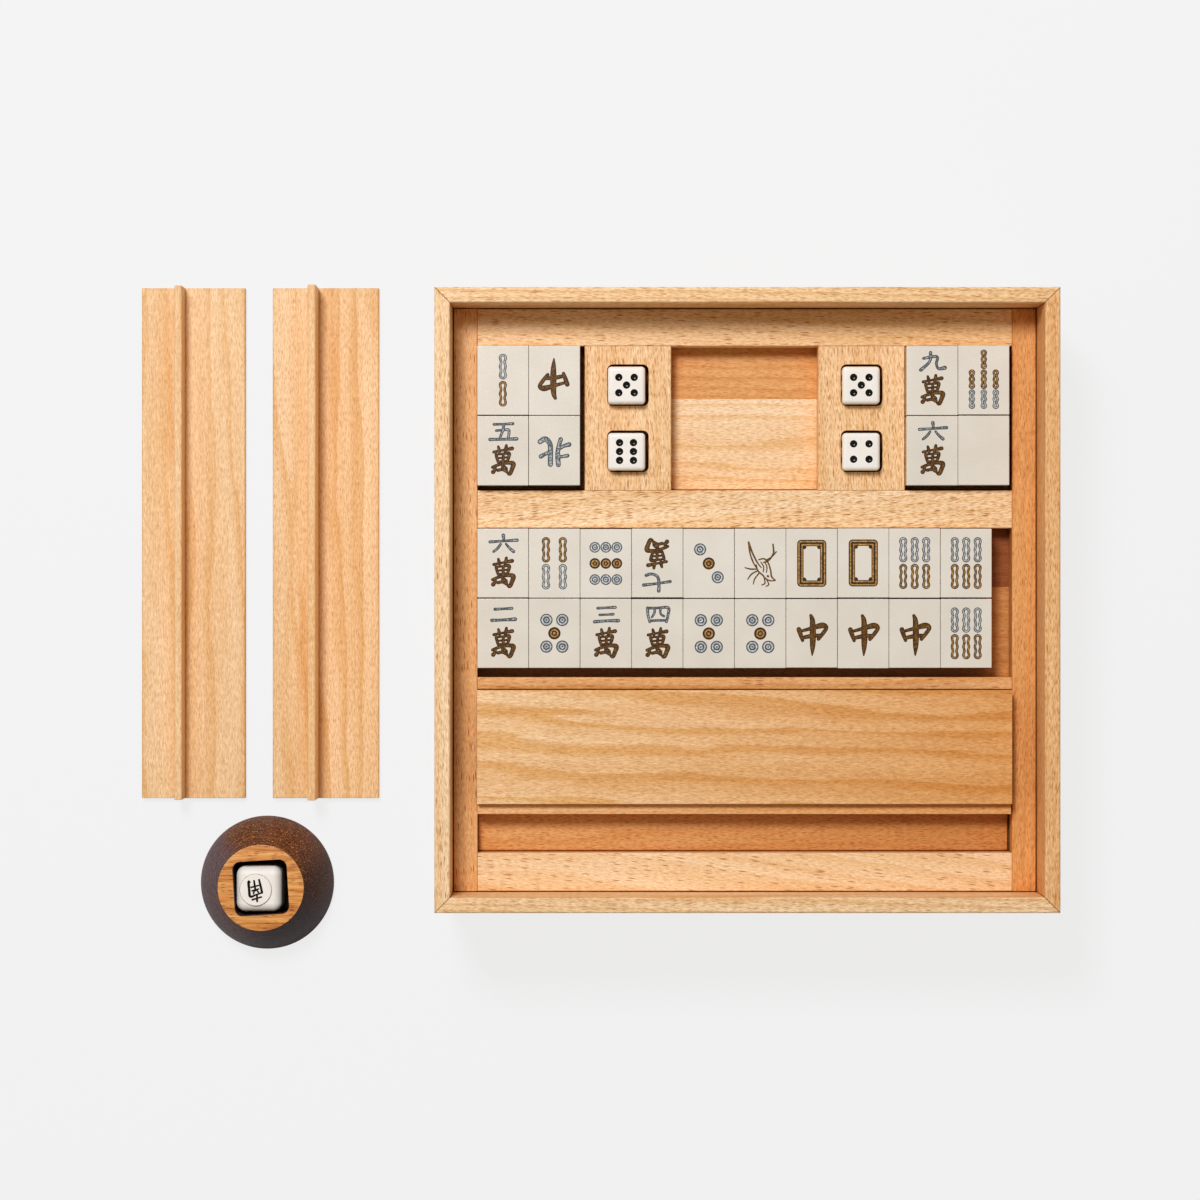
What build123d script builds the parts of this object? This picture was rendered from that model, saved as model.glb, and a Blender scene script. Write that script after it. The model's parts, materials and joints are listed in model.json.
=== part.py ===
from build123d import *
import os

# A wooden mahjong case: an open-topped box whose deep rim stands round a lift-out
# tray of tiles, dice and tile racks, with two stacked drawers of more tiles under
# the tray. Two more racks and the wind indicator stand on the table beside it.
#
# Millimetres. The origin is the middle of the case's underside. +Z is up, +Y points
# to the back and the drawers open towards -Y.

# ---- Tiles and dice ----
TILE_W = 21.9           # across the face
TILE_L = 29.9           # along the face
TILE_T = 16.0           # back to face
TILE_GAP = 0.1          # between two tiles that lie side by side
TILE_EDGE = 0.5         # broken edge of a tile
DIE = 16.0              # edge of a die
DIE_EDGE = 1.2          # broken edge of a die
COLUMNS = 10            # tiles side by side in the long compartment and in a drawer
DRAWER_ROWS = 6         # rows of tiles in a drawer, from the back
SPARE_COUNT = 2         # places left empty in a drawer's front row

# ---- Tile racks: a flat plank with an upright rib ----
RACK_LENGTH = 228.3
PLANK_T = 3.6
RIB_LOW = 11.0          # rib of the lower rack of a pair; the upper one stands on the floor
RACK_EDGE = 0.5
BEARING_EDGE = 0.1      # the same, where the stored racks bear on each other
RACK_A_WIDTH = 46.4     # rack A, the far one on the table
RACK_A_NARROW = 16.2    # from the plank's edge to the rib
RACK_A_RIB_T = 3.4
RACK_B_WIDTH = 47.6     # rack B, on the table next to the case
RACK_B_NARROW = 17.1
RACK_B_RIB_T = 3.6
RACK_C_WIDTH = 46.4     # rack C, the lower one of the pair in the tray
RACK_C_NARROW = 16.7
RACK_C_RIB_T = 4.9
RACK_D_NARROW = 16.4    # rack D, upside down over rack C
RACK_D_RIB_T = 3.6
NEST_LAP = 0.35         # how far the plank of rack D lies on the rib of rack C
NEST_GAP = 3.4          # between the plank of rack C and the rib of rack D

# ---- Tray ----
TRAY_FLOOR_T = 2.6
POCKET_DEPTH = 10.4     # height of the tray's rails and bars over its floor
RAIL_W = 10.35          # side rails
BAR_BACK = 16.1
BAR_MIDDLE = 16.3
BAR_DIVIDER = 5.3
BAR_FRONT = 16.5
TRAY_EDGE = 0.35
SEAT = 0.15             # between a tile or rack and the wall of its compartment
END_PLAY = 9.45         # least free length at the end of the long row of tiles
RACK_END_PLAY = 1.05    # least free length at the end of a stored rack
ROW_PLAY = 3.85         # free depth in front of the long rows
PAIR_PLAY_X = 1.95      # free width beside the pair of tile columns at the back
PAIR_PLAY_Y = 1.85      # free depth in front of them
RACK_PLAY_BACK = 0.1    # between rack D and the divider
DICE_BLOCK_W = 37.15
SOCKET_PLAY = 1.8       # a dice socket is this much wider than a die
SOCKET_RADIUS = 2.5
SOCKET_PITCH = 28.4     # between the two sockets of a block
DIE_OFF_X = 0.65        # how far a die lies to the left of the middle of its socket
DIE_OFF_Y = 0.4         # and how far in front of it

# ---- Case ----
WALL_T = 6.6
BASE_T = 4.0
RIM_RISE = 22.2         # rim over the tray's rails
TRAY_FIT = 0.3          # between the tray and the walls
CASE_EDGE = 0.5

# ---- Drawers ----
BOTTOM_T = 2.2          # bottom panel
REBATE = 4.0            # how far the bottom panel reaches into the frame
LIFT_GAP = 0.4          # free height over a drawer's tiles
FRONT_T = 10.0
BACK_T = 6.0
FRONT_REVEAL = 0.6      # gap over a drawer's front
SIDE_GAP = 0.6          # between a drawer and the case's walls
BACK_GAP = 1.0
TILE_PLAY = 4.7         # free width beside the columns of tiles in a drawer
NOTCH_R = 9.0           # half-round finger notch
RUNNER_PROUD = 4.5      # how far a runner stands out of the wall
RUNNER_H = 5.0
RUNNER_UP = 5.0         # from the drawer's underside to the runner's
RUNNER_GAP = 0.5        # round a runner in its groove, except on top, where it carries
RUNNER_STOP = 2.0       # from a drawer's front to the ends of the runners and ledges
LEDGE_T = 3.6           # ledges that carry the tray
LEDGE_BACKSET = 1.0     # a ledge stays this far outside the drawer's inner face

# ---- Wind indicator ----
INDICATOR_D = 59.5
INDICATOR_TOP_D = 38.0
INDICATOR_H = 27.0
INDICATOR_FOOT = 2.5    # straight band at the foot
INDICATOR_BULGE = 1.6   # how far the side swells over a straight cone
WIND_DIE = 20.4
WIND_DIE_RADIUS = 3.6
WIND_SOCKET = 24.0
WIND_SOCKET_RADIUS = 3.5
WIND_SOCKET_DEPTH = 20.8
WIND_SOCKET_TURN = 3.5  # how far the socket is turned, in degrees
WIND_DIE_OFF_X = 1.1    # how far the wind die lies to the left of the socket's middle
WIND_DIE_OFF_Y = 0.7    # and how far in front of it

# ---- Places on the table ----
RACK_B_FROM_CASE = 29.1
RACK_A_FROM_B = 12.2
RACKS_PAST_BACK = 7.6   # how far the racks reach behind the case
INDICATOR_FROM_RACK = 8.0
INDICATOR_OFF = 2.5     # its middle is this far left of rack B's left edge

# ---- Worked out from the sizes above ----
TILE_STEP_X = TILE_W + TILE_GAP
TILE_STEP_Y = TILE_L + TILE_GAP
RIB_HIGH = RIB_LOW + PLANK_T
SOCKET = DIE + SOCKET_PLAY

ROW_LENGTH = COLUMNS * TILE_STEP_X - TILE_GAP
TRAY_IN_X = (SEAT + max(ROW_LENGTH + END_PLAY, RACK_LENGTH + RACK_END_PLAY)) / 2
TRAY_X = TRAY_IN_X + RAIL_W
PAIR_DEPTH = 2 * TILE_STEP_Y - TILE_GAP + SEAT
COMP_BACK = PAIR_DEPTH + PAIR_PLAY_Y
COMP_ROWS = PAIR_DEPTH + ROW_PLAY
RACKS_DEPTH = RACK_C_WIDTH + NEST_GAP + RACK_D_RIB_T + RACK_D_NARROW
COMP_RACKS = 2 * SEAT + RACKS_DEPTH + RACK_PLAY_BACK
TRAY_Y = (BAR_BACK + COMP_BACK + BAR_MIDDLE + COMP_ROWS + BAR_DIVIDER + COMP_RACKS + BAR_FRONT) / 2

CASE_IN_X = TRAY_X + TRAY_FIT
CASE_IN_Y = TRAY_Y + TRAY_FIT
CASE_X = CASE_IN_X + WALL_T
CASE_Y = CASE_IN_Y + WALL_T

DRAWER_STEP = BOTTOM_T + TILE_T + LIFT_GAP
DRAWER_Z = [BASE_T + LIFT_GAP, BASE_T + LIFT_GAP + DRAWER_STEP]
TRAY_Z = DRAWER_Z[1] + DRAWER_STEP
FLOOR_Z = TRAY_Z + TRAY_FLOOR_T
RAIL_Z = FLOOR_Z + POCKET_DEPTH
RIM_Z = RAIL_Z + RIM_RISE

DRAWER_X = CASE_IN_X - SIDE_GAP
DRAWER_IN_X = (COLUMNS * TILE_STEP_X + TILE_PLAY) / 2
DRAWER_FRONT_Y = -CASE_Y + FRONT_T
DRAWER_BACK_Y = CASE_IN_Y - BACK_GAP
DRAWER_SIDE_H = DRAWER_STEP - LEDGE_T - LIFT_GAP
DRAWER_FRONT_H = DRAWER_STEP - FRONT_REVEAL

# Compartment walls along Y, from the back of the tray to its front.
BACK_Y = TRAY_Y - BAR_BACK
MIDDLE_TOP_Y = BACK_Y - COMP_BACK
MIDDLE_LOW_Y = MIDDLE_TOP_Y - BAR_MIDDLE
DIVIDER_TOP_Y = MIDDLE_LOW_Y - COMP_ROWS
DIVIDER_LOW_Y = DIVIDER_TOP_Y - BAR_DIVIDER
FRONT_Y = DIVIDER_LOW_Y - COMP_RACKS


def box(x, y, z):
    """A plain block between two corners, each side given as (low, high)."""
    middle = Pos((x[0] + x[1]) / 2, (y[0] + y[1]) / 2, (z[0] + z[1]) / 2)
    return middle * Box(x[1] - x[0], y[1] - y[0], z[1] - z[0])


def board(x, y, z, edge):
    """A block whose four long edges are broken."""
    spans = [x[1] - x[0], y[1] - y[0], z[1] - z[0]]
    grain = [Axis.X, Axis.Y, Axis.Z][spans.index(max(spans))]
    solid = box(x, y, z)
    return chamfer(solid.edges().filter_by(grain), edge)


def game_piece(x, y, z, edge):
    """A tile or die: a block with every edge broken."""
    solid = box(x, y, z)
    return chamfer(solid.edges(), edge)


def tile(x, y, z):
    """A tile that lies face up, given its left, back and lower sides."""
    return game_piece((x, x + TILE_W), (y - TILE_L, y), (z, z + TILE_T), TILE_EDGE)


def write(node, solids):
    """Write one piece, or one group of separate pieces, under its name."""
    shape = Compound(children=solids) if isinstance(solids, list) else solids
    export_step(shape, f"parts/{node}.step")


def prism(corners, low, high):
    """A flat outline in plan, raised from low to high."""
    outline = Polyline(*corners, close=True)
    return Pos(0, 0, low) * extrude(make_face(outline), high - low)


def ease_top(solid, grain):
    """Break the two upper edges that run along a wall."""
    return chamfer(solid.edges().filter_by(grain).group_by(Axis.Z)[-1], CASE_EDGE)


def side_wall(side):
    """A side wall, mitred to the back wall and, at the rim, to the front rail."""
    outer, inner = side * CASE_X, side * CASE_IN_X
    plan = [(outer, -CASE_Y), (inner, -CASE_Y), (inner, CASE_IN_Y), (outer, CASE_Y)]
    wall = ease_top(prism(plan, 0, RIM_Z), Axis.Y)
    corner = [(outer, -CASE_Y), (inner, -CASE_Y), (inner, -CASE_IN_Y)]
    return wall - prism(corner, TRAY_Z, RIM_Z)


def cross_wall(side, low):
    """The back wall or the front rail, mitred at both ends."""
    outer, inner = side * CASE_Y, side * CASE_IN_Y
    plan = [(-CASE_X, outer), (CASE_X, outer), (CASE_IN_X, inner), (-CASE_IN_X, inner)]
    return ease_top(prism(plan, low, RIM_Z), Axis.X)


def make_case():
    """The fixed box: walls, base, drawer runners and the ledges under the tray."""
    write("wall_left", side_wall(-1))
    write("wall_right", side_wall(1))
    write("wall_back", cross_wall(1, 0))
    write("front_rail", cross_wall(-1, TRAY_Z))
    write("base_panel", box((-CASE_IN_X, CASE_IN_X), (-CASE_Y, CASE_IN_Y), (0, BASE_T)))
    strip_y = (DRAWER_FRONT_Y + RUNNER_STOP, CASE_IN_Y)
    for name, side in (("left", -1), ("right", 1)):
        ledge_x = sorted((side * (DRAWER_IN_X + LEDGE_BACKSET), side * CASE_IN_X))
        write(f"tray_ledge_{name}", box(ledge_x, strip_y, (TRAY_Z - LEDGE_T, TRAY_Z)))
        runner_x = sorted((side * (CASE_IN_X - RUNNER_PROUD), side * CASE_IN_X))
        for place, z in zip(("lower", "upper"), DRAWER_Z):
            runner_z = (z + RUNNER_UP, z + RUNNER_UP + RUNNER_H)
            write(f"runner_{place}_{name}", box(runner_x, strip_y, runner_z))


def drawer_panel(z):
    """The thin bottom, let into a rebate all round the drawer's frame."""
    x = DRAWER_IN_X + REBATE
    y = (DRAWER_FRONT_Y - REBATE, DRAWER_BACK_Y - BACK_T + REBATE)
    return box((-x, x), y, (z, z + BOTTOM_T))


def drawer_side(side, z):
    """A thick side, grooved outside for its runner."""
    x = sorted((side * DRAWER_IN_X, side * DRAWER_X))
    y = (DRAWER_FRONT_Y, DRAWER_BACK_Y)
    frame = board(x, y, (z, z + DRAWER_SIDE_H), TRAY_EDGE)
    groove_x = sorted((side * (CASE_IN_X - RUNNER_PROUD - RUNNER_GAP), side * CASE_IN_X))
    groove_z = (z + RUNNER_UP - RUNNER_GAP, z + RUNNER_UP + RUNNER_H)
    return frame - box(groove_x, y, groove_z)


def drawer_front(z):
    """The front, inset between the side walls, with a finger notch in its top edge."""
    top = z + DRAWER_FRONT_H
    front = box((-DRAWER_X, DRAWER_X), (-CASE_Y, DRAWER_FRONT_Y), (z, top))
    front = chamfer(front.edges().filter_by(Axis.X).group_by(Axis.Y)[0], CASE_EDGE)
    notch = Pos(0, -CASE_Y + FRONT_T / 2, top) * Rot(90, 0, 0) * Cylinder(NOTCH_R, 2 * FRONT_T)
    return front - notch


def drawer_tiles(z):
    """The tiles that lie in a drawer, in rows from the back."""
    left = -ROW_LENGTH / 2
    back = DRAWER_BACK_Y - BACK_T - SEAT
    places = [(column, row) for row in range(DRAWER_ROWS) for column in range(COLUMNS)]
    kept = places[:len(places) - SPARE_COUNT]
    floor = z + BOTTOM_T
    return [tile(left + c * TILE_STEP_X, back - r * TILE_STEP_Y, floor) for c, r in kept]


def make_drawer(name, z):
    """One drawer and its tiles."""
    panel = drawer_panel(z)
    write(f"{name}_drawer_bottom", panel)
    write(f"{name}_drawer_front", drawer_front(z) - panel)
    write(f"{name}_drawer_side_left", drawer_side(-1, z) - panel)
    write(f"{name}_drawer_side_right", drawer_side(1, z) - panel)
    back_y = (DRAWER_BACK_Y - BACK_T, DRAWER_BACK_Y)
    back = board((-DRAWER_IN_X, DRAWER_IN_X), back_y, (z, z + DRAWER_SIDE_H), TRAY_EDGE)
    write(f"{name}_drawer_back", back - panel)
    write(f"{name}_drawer_tiles", drawer_tiles(z))


def tray_bar(node, x, y):
    """A rail or bar glued on the tray's floor."""
    write(node, board(x, y, (FLOOR_Z, RAIL_Z), TRAY_EDGE))


def dice_block(x, y, centres):
    """A block over the tray's floor with a square socket for each die."""
    block = board(x, y, (FLOOR_Z, RAIL_Z), TRAY_EDGE)
    for place in centres:
        socket = extrude(RectangleRounded(SOCKET, SOCKET, SOCKET_RADIUS), POCKET_DEPTH)
        block -= Pos(place[0], place[1], FLOOR_Z) * socket
    return block


def make_dice(blocks_x):
    """Both dice blocks, and the four dice, each a little off the middle of its socket."""
    middle_y = (BACK_Y + MIDDLE_TOP_Y) / 2
    number = 1
    for name, x in blocks_x:
        middle_x = (x[0] + x[1]) / 2
        centres = [(middle_x, middle_y + side * SOCKET_PITCH / 2) for side in (1, -1)]
        write(f"dice_block_{name}", dice_block(x, (MIDDLE_TOP_Y, BACK_Y), centres))
        for centre_x, centre_y in centres:
            low_x, low_y = centre_x - DIE_OFF_X - DIE / 2, centre_y - DIE_OFF_Y - DIE / 2
            sides = (low_x, low_x + DIE), (low_y, low_y + DIE), (FLOOR_Z, FLOOR_Z + DIE)
            write(f"die_{number}", game_piece(*sides, DIE_EDGE))
            number += 1


def tile_column(node, x, back):
    """Two tiles, one in front of the other."""
    write(node, [tile(x, back - SEAT - row * TILE_STEP_Y, FLOOR_Z) for row in range(2)])


def make_tray():
    """The lift-out tray with its tiles and dice."""
    write("tray_floor", box((-TRAY_X, TRAY_X), (-TRAY_Y, TRAY_Y), (TRAY_Z, FLOOR_Z)))
    tray_bar("tray_rail_left", (-TRAY_X, -TRAY_IN_X), (-TRAY_Y, TRAY_Y))
    tray_bar("tray_rail_right", (TRAY_IN_X, TRAY_X), (-TRAY_Y, TRAY_Y))
    inside = (-TRAY_IN_X, TRAY_IN_X)
    tray_bar("tray_bar_back", inside, (BACK_Y, TRAY_Y))
    tray_bar("tray_bar_middle", inside, (MIDDLE_LOW_Y, MIDDLE_TOP_Y))
    tray_bar("tray_bar_divider", inside, (DIVIDER_LOW_Y, DIVIDER_TOP_Y))
    tray_bar("tray_bar_front", inside, (-TRAY_Y, FRONT_Y))

    pair_width = 2 * TILE_STEP_X - TILE_GAP + SEAT + PAIR_PLAY_X
    block_out = TRAY_IN_X - pair_width
    block_in = block_out - DICE_BLOCK_W
    make_dice([("left", (-block_out, -block_in)), ("right", (block_in, block_out))])

    for column in range(2):
        shift = SEAT + column * TILE_STEP_X
        tile_column(f"tiles_back_left_{column + 1}", shift - TRAY_IN_X, BACK_Y)
        tile_column(f"tiles_back_right_{column + 1}", shift + block_out, BACK_Y)
    for column in range(COLUMNS):
        left = SEAT - TRAY_IN_X + column * TILE_STEP_X
        tile_column(f"tiles_row_{column + 1:02d}", left, MIDDLE_LOW_Y)


def table_rack(name, left, width, narrow, rib_t, rib_h):
    """A rack that stands on the table, its rib up and its narrow side to the left."""
    y = (CASE_Y + RACKS_PAST_BACK - RACK_LENGTH, CASE_Y + RACKS_PAST_BACK)
    rib_x = (left + narrow, left + narrow + rib_t)
    write(f"{name}_plank", board((left, left + width), y, (0, PLANK_T), RACK_EDGE))
    write(f"{name}_rib", board(rib_x, y, (PLANK_T, PLANK_T + rib_h), RACK_EDGE))
    return y[0]


def make_stored_racks():
    """The nested pair in the tray: rack C with its rib up, rack D upside down over it."""
    x = (SEAT - TRAY_IN_X, SEAT - TRAY_IN_X + RACK_LENGTH)
    low_y = FRONT_Y + 2 * SEAT
    plank_z = (FLOOR_Z, FLOOR_Z + PLANK_T)
    rib_top = FLOOR_Z + RIB_HIGH
    write("rack_c_plank", board(x, (low_y, low_y + RACK_C_WIDTH), plank_z, RACK_EDGE))
    rib_y = (low_y + RACK_C_NARROW, low_y + RACK_C_NARROW + RACK_C_RIB_T)
    write("rack_c_rib", board(x, rib_y, (plank_z[1], rib_top), BEARING_EDGE))

    foot_y = (low_y + RACK_C_WIDTH + NEST_GAP, low_y + RACK_C_WIDTH + NEST_GAP + RACK_D_RIB_T)
    write("rack_d_rib", board(x, foot_y, (FLOOR_Z, rib_top), RACK_EDGE))
    over_y = (rib_y[1] - NEST_LAP, foot_y[1] + RACK_D_NARROW)
    write("rack_d_plank", board(x, over_y, (rib_top, rib_top + PLANK_T), BEARING_EDGE))


def indicator_side():
    """Half of the turned outline, on the plane of its axis."""
    foot, top = INDICATOR_D / 2, INDICATOR_TOP_D / 2
    middle = ((foot + top) / 2 + INDICATOR_BULGE, (INDICATOR_FOOT + INDICATOR_H) / 2)
    outline = Polyline((0, INDICATOR_H), (0, 0), (foot, 0), (foot, INDICATOR_FOOT))
    outline += ThreePointArc((foot, INDICATOR_FOOT), middle, (top, INDICATOR_H))
    outline += Line((top, INDICATOR_H), (0, INDICATOR_H))
    return make_face(Plane.XZ * outline)


def make_indicator(x, y):
    """The turned holder and the wind die in its square socket."""
    floor = INDICATOR_H - WIND_SOCKET_DEPTH
    plan = RectangleRounded(WIND_SOCKET, WIND_SOCKET, WIND_SOCKET_RADIUS)
    socket = Pos(0, 0, floor) * Rot(0, 0, WIND_SOCKET_TURN) * extrude(plan, WIND_SOCKET_DEPTH)
    write("indicator_body", Pos(x, y, 0) * (revolve(indicator_side(), Axis.Z) - socket))
    middle = Pos(x - WIND_DIE_OFF_X, y - WIND_DIE_OFF_Y, floor + WIND_DIE / 2)
    die = middle * Box(WIND_DIE, WIND_DIE, WIND_DIE)
    write("indicator_die", fillet(die.edges(), WIND_DIE_RADIUS))


def make_table_set():
    """Racks A and B and the wind indicator, beside the case."""
    rack_b = -CASE_X - RACK_B_FROM_CASE - RACK_B_WIDTH
    rack_a = rack_b - RACK_A_FROM_B - RACK_A_WIDTH
    table_rack("rack_a", rack_a, RACK_A_WIDTH, RACK_A_NARROW, RACK_A_RIB_T, RIB_LOW)
    end_y = table_rack("rack_b", rack_b, RACK_B_WIDTH, RACK_B_NARROW, RACK_B_RIB_T, RIB_HIGH)
    make_indicator(rack_b - INDICATOR_OFF, end_y - INDICATOR_FROM_RACK - INDICATOR_D / 2)


os.makedirs("parts", exist_ok=True)
make_case()
for drawer, drawer_z in zip(("lower", "upper"), DRAWER_Z):
    make_drawer(drawer, drawer_z)
make_tray()
make_stored_racks()
make_table_set()
print("case", 2 * CASE_X, 2 * CASE_Y, RIM_Z, "tray top", RAIL_Z, "tray floor", FLOOR_Z)
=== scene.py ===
import json
import math
import random

import bmesh
import bpy
from mathutils import Matrix, Vector


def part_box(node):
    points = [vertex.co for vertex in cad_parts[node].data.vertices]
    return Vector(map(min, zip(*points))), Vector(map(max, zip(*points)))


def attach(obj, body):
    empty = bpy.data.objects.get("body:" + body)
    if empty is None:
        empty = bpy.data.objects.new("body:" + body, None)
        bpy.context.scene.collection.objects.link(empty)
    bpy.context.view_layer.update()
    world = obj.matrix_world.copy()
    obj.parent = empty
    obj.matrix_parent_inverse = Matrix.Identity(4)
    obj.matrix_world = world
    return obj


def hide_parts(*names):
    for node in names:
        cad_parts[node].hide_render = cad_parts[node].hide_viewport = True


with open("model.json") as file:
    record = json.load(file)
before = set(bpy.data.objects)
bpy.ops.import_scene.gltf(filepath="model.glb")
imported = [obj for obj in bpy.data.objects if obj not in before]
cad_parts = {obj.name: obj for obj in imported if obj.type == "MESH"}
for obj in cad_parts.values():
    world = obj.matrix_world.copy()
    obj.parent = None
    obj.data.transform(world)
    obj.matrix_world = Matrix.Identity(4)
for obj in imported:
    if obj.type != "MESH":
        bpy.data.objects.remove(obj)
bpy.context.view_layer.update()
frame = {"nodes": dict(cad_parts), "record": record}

# A wooden mahjong case seen from straight above: tray, tiles, dice, racks, drawers and a
# wind indicator. Metres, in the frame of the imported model; drawings on the tiles and dice
# are in millimetres.

MM = 0.001
RECORD = frame["record"]
BODY_OF = {n: body for body, nodes in RECORD["behaviour"]["bodies"].items() for n in nodes}


# ---- colours and node trees

def srgb(code):
    """A colour written as #RRGGBB, as linear red, green, blue and alpha."""
    values = [int(code[i:i + 2], 16) / 255 for i in (1, 3, 5)]
    linear = [v / 12.92 if v <= 0.04045 else ((v + 0.055) / 1.055) ** 2.4 for v in values]
    return (*linear, 1.0)


class Nodes:
    """The node tree of a material or a world, built one node at a time."""

    def __init__(self, owner):
        owner.use_nodes = True
        self.tree = owner.node_tree

    def put(self, socket, value):
        """Set a socket, or link it when the value is another node's output."""
        if isinstance(value, bpy.types.NodeSocket):
            self.tree.links.new(value, socket)
        else:
            socket.default_value = value

    def add(self, kind, values=None, **settings):
        node = self.tree.nodes.new("ShaderNode" + kind)
        for key, value in settings.items():
            setattr(node, key, value)
        for socket, value in (values or {}).items():
            self.put(node.inputs[socket], value)
        return node

    def math(self, operation, first, second=0.0, third=0.0):
        return self.add("Math", {0: first, 1: second, 2: third}, operation=operation).outputs[0]

    def ramp(self, fac, *stops):
        """A colour ramp; each stop is (position, colour or grey value)."""
        node = self.add("ValToRGB", {"Fac": fac})
        stops = [(at, c if isinstance(c, tuple) else (c, c, c, 1.0)) for at, c in stops]
        marks = node.color_ramp.elements
        while len(marks) < len(stops):
            marks.new(0.5)
        for mark, (at, colour) in zip(marks, stops):
            mark.position = at
            mark.color = colour
        return node.outputs["Color"]

    def mix(self, fac, first, second, blend="MIX"):
        node = self.add("Mix", data_type="RGBA", blend_type=blend)
        for socket, value in zip((node.inputs[0], node.inputs[6], node.inputs[7]), (fac, first, second)):
            self.put(socket, value)
        return node.outputs[2]

    def noise(self, vector, detail=3.0, roughness=0.5, distortion=0.0):
        values = {"Vector": vector, "Scale": 1.0, "Detail": detail,
                  "Roughness": roughness, "Distortion": distortion}
        return self.add("TexNoise", values).outputs["Fac"]

    def coords(self, stretch, shift=(0.0, 0.0, 0.0)):
        """Object coordinates, stretched and shifted."""
        values = {0: self.add("TexCoord").outputs["Object"], 1: stretch, 2: shift}
        return self.add("VectorMath", values, operation="MULTIPLY_ADD").outputs[0]

    def axes(self):
        """The three object coordinates, each by itself."""
        return self.add("SeparateXYZ", {0: self.add("TexCoord").outputs["Object"]}).outputs


class Material(Nodes):
    """A material on one Principled shader."""

    def __init__(self, name, roughness, **inputs):
        self.data = bpy.data.materials.new(name)
        super().__init__(self.data)
        self.shader = self.tree.nodes["Principled BSDF"]
        self.shader.inputs["Roughness"].default_value = roughness
        for key, value in inputs.items():
            self.shader.inputs[key.replace("_", " ")].default_value = value

    def finish(self, colour, height, strength, distance, rough=None):
        """Link the colour, a bump and, where it is given, a varying roughness."""
        self.put(self.shader.inputs["Base Color"], colour)
        bump = self.add("Bump", {"Strength": strength, "Distance": distance, "Height": height})
        self.put(self.shader.inputs["Normal"], bump.outputs["Normal"])
        if rough is not None:
            self.put(self.shader.inputs["Roughness"], rough)
        return self.data


# ---- wood

GRAIN_TURN = {"X": (0, 1, 2), "Y": (1, 0, 2)}
SHADE_SPAN = 0.115           # painted shade: a shaded board has its tone up to this far left and its shaded tone this far right
RING_DEPTH = 0.35       # how much a growth ring varies through a board's thickness
CREVICE = 0.015         # how far a surface looks for neighbours that keep the light out


class Board:
    """How one board looks: its grain, its tone, how strong its figure and its rays are, and a shaded tone
    that its right end drifts to as painted shade.
    """

    def __init__(self, grain, tone, rings=0.35, pitch=0.007, bold=0.4, fine=0.5, slope=0.0, shaded_tone=None):
        self.grain, self.tone, self.shaded_tone = grain, tone, shaded_tone
        self.rings, self.pitch = rings, pitch
        self.bold, self.fine, self.slope = bold, fine, slope


def tinted(mat, colour, fac, tint):
    """A colour multiplied towards a tint by a factor."""
    return mat.mix(fac, colour, mat.mix(1.0, colour, (*tint, 1.0), "MULTIPLY"))


def along_grain(mat, board, stretch, shift):
    """Coordinates whose first axis follows the grain, which may run a little askew."""
    parts = mat.axes()
    u, v, w = (parts[axis] for axis in GRAIN_TURN[board.grain])
    swapped = mat.add("CombineXYZ", {0: u, 1: mat.math("MULTIPLY_ADD", u, board.slope, v), 2: w})
    values = {0: swapped.outputs[0], 1: stretch, 2: shift}
    return mat.add("VectorMath", values, operation="MULTIPLY_ADD").outputs[0]


def dashes(mat, vector, reach, share):
    """Short dark dashes along the grain, the rays of beech; share is how many cells have one."""
    spots = mat.add("TexVoronoi", {"Vector": vector, "Scale": 1.0}, feature="F1")
    spot = mat.ramp(spots.outputs["Distance"], (reach * 0.45, 1.0), (reach, 0.0))
    chance = mat.add("SeparateXYZ", {0: spots.outputs["Color"]}).outputs[0]
    return mat.math("MULTIPLY", spot, mat.ramp(chance, (1.0 - share, 0.0), (1.12 - share, 1.0)))


def growth_rings(mat, board, shift):
    """Bands that darken slowly and end sharply, bent like the figure of a sawn board."""
    bend = mat.noise(along_grain(mat, board, (3.2, 30, 30), shift), 4.0, 0.55)
    stretch = (1, 1 / board.pitch, RING_DEPTH / board.pitch)
    across = mat.add("SeparateXYZ", {0: along_grain(mat, board, stretch, shift)})
    place = mat.math("ADD", across.outputs[1], across.outputs[2])
    cycle = mat.math("FRACT", mat.math("MULTIPLY_ADD", bend, 5.0, place))
    return mat.ramp(cycle, (0.0, 0.0), (0.5, 0.10), (0.88, 1.0), (1.0, 0.0))


def tone_and_shade(mat, board):
    """The board's tone, which may drift to a darker shaded tone from its left end to its right: painted
    shade, as the light falls off to the right.
    """
    if board.shaded_tone is None:
        return board.tone
    values = {"Value": mat.axes()[0], "From Min": -SHADE_SPAN, "From Max": SHADE_SPAN}
    return mat.mix(mat.add("MapRange", values).outputs["Result"], board.tone, board.shaded_tone)


def crevice_shade(mat):
    """How closed in a surface is, from none to one, for painted shade where neighbours keep the light out:
    a strict measure and a wider, softer one.
    """
    light = mat.add("AmbientOcclusion", {"Distance": CREVICE}, samples=4).outputs["AO"]
    return mat.ramp(light, (0.05, 1.0), (0.28, 0.0)), mat.ramp(light, (0.28, 1.0), (0.75, 0.0))


def mitre_line(mat):
    """A thin line where the boards of the square case meet, on its diagonals."""
    parts = mat.axes()
    x, y = (mat.math("ABSOLUTE", parts[i]) for i in (0, 1))
    off = mat.math("ABSOLUTE", mat.math("SUBTRACT", x, y))
    return mat.ramp(mat.math("MULTIPLY", off, 1000.0), (0.10, 1.0), (0.34, 0.0))


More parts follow.
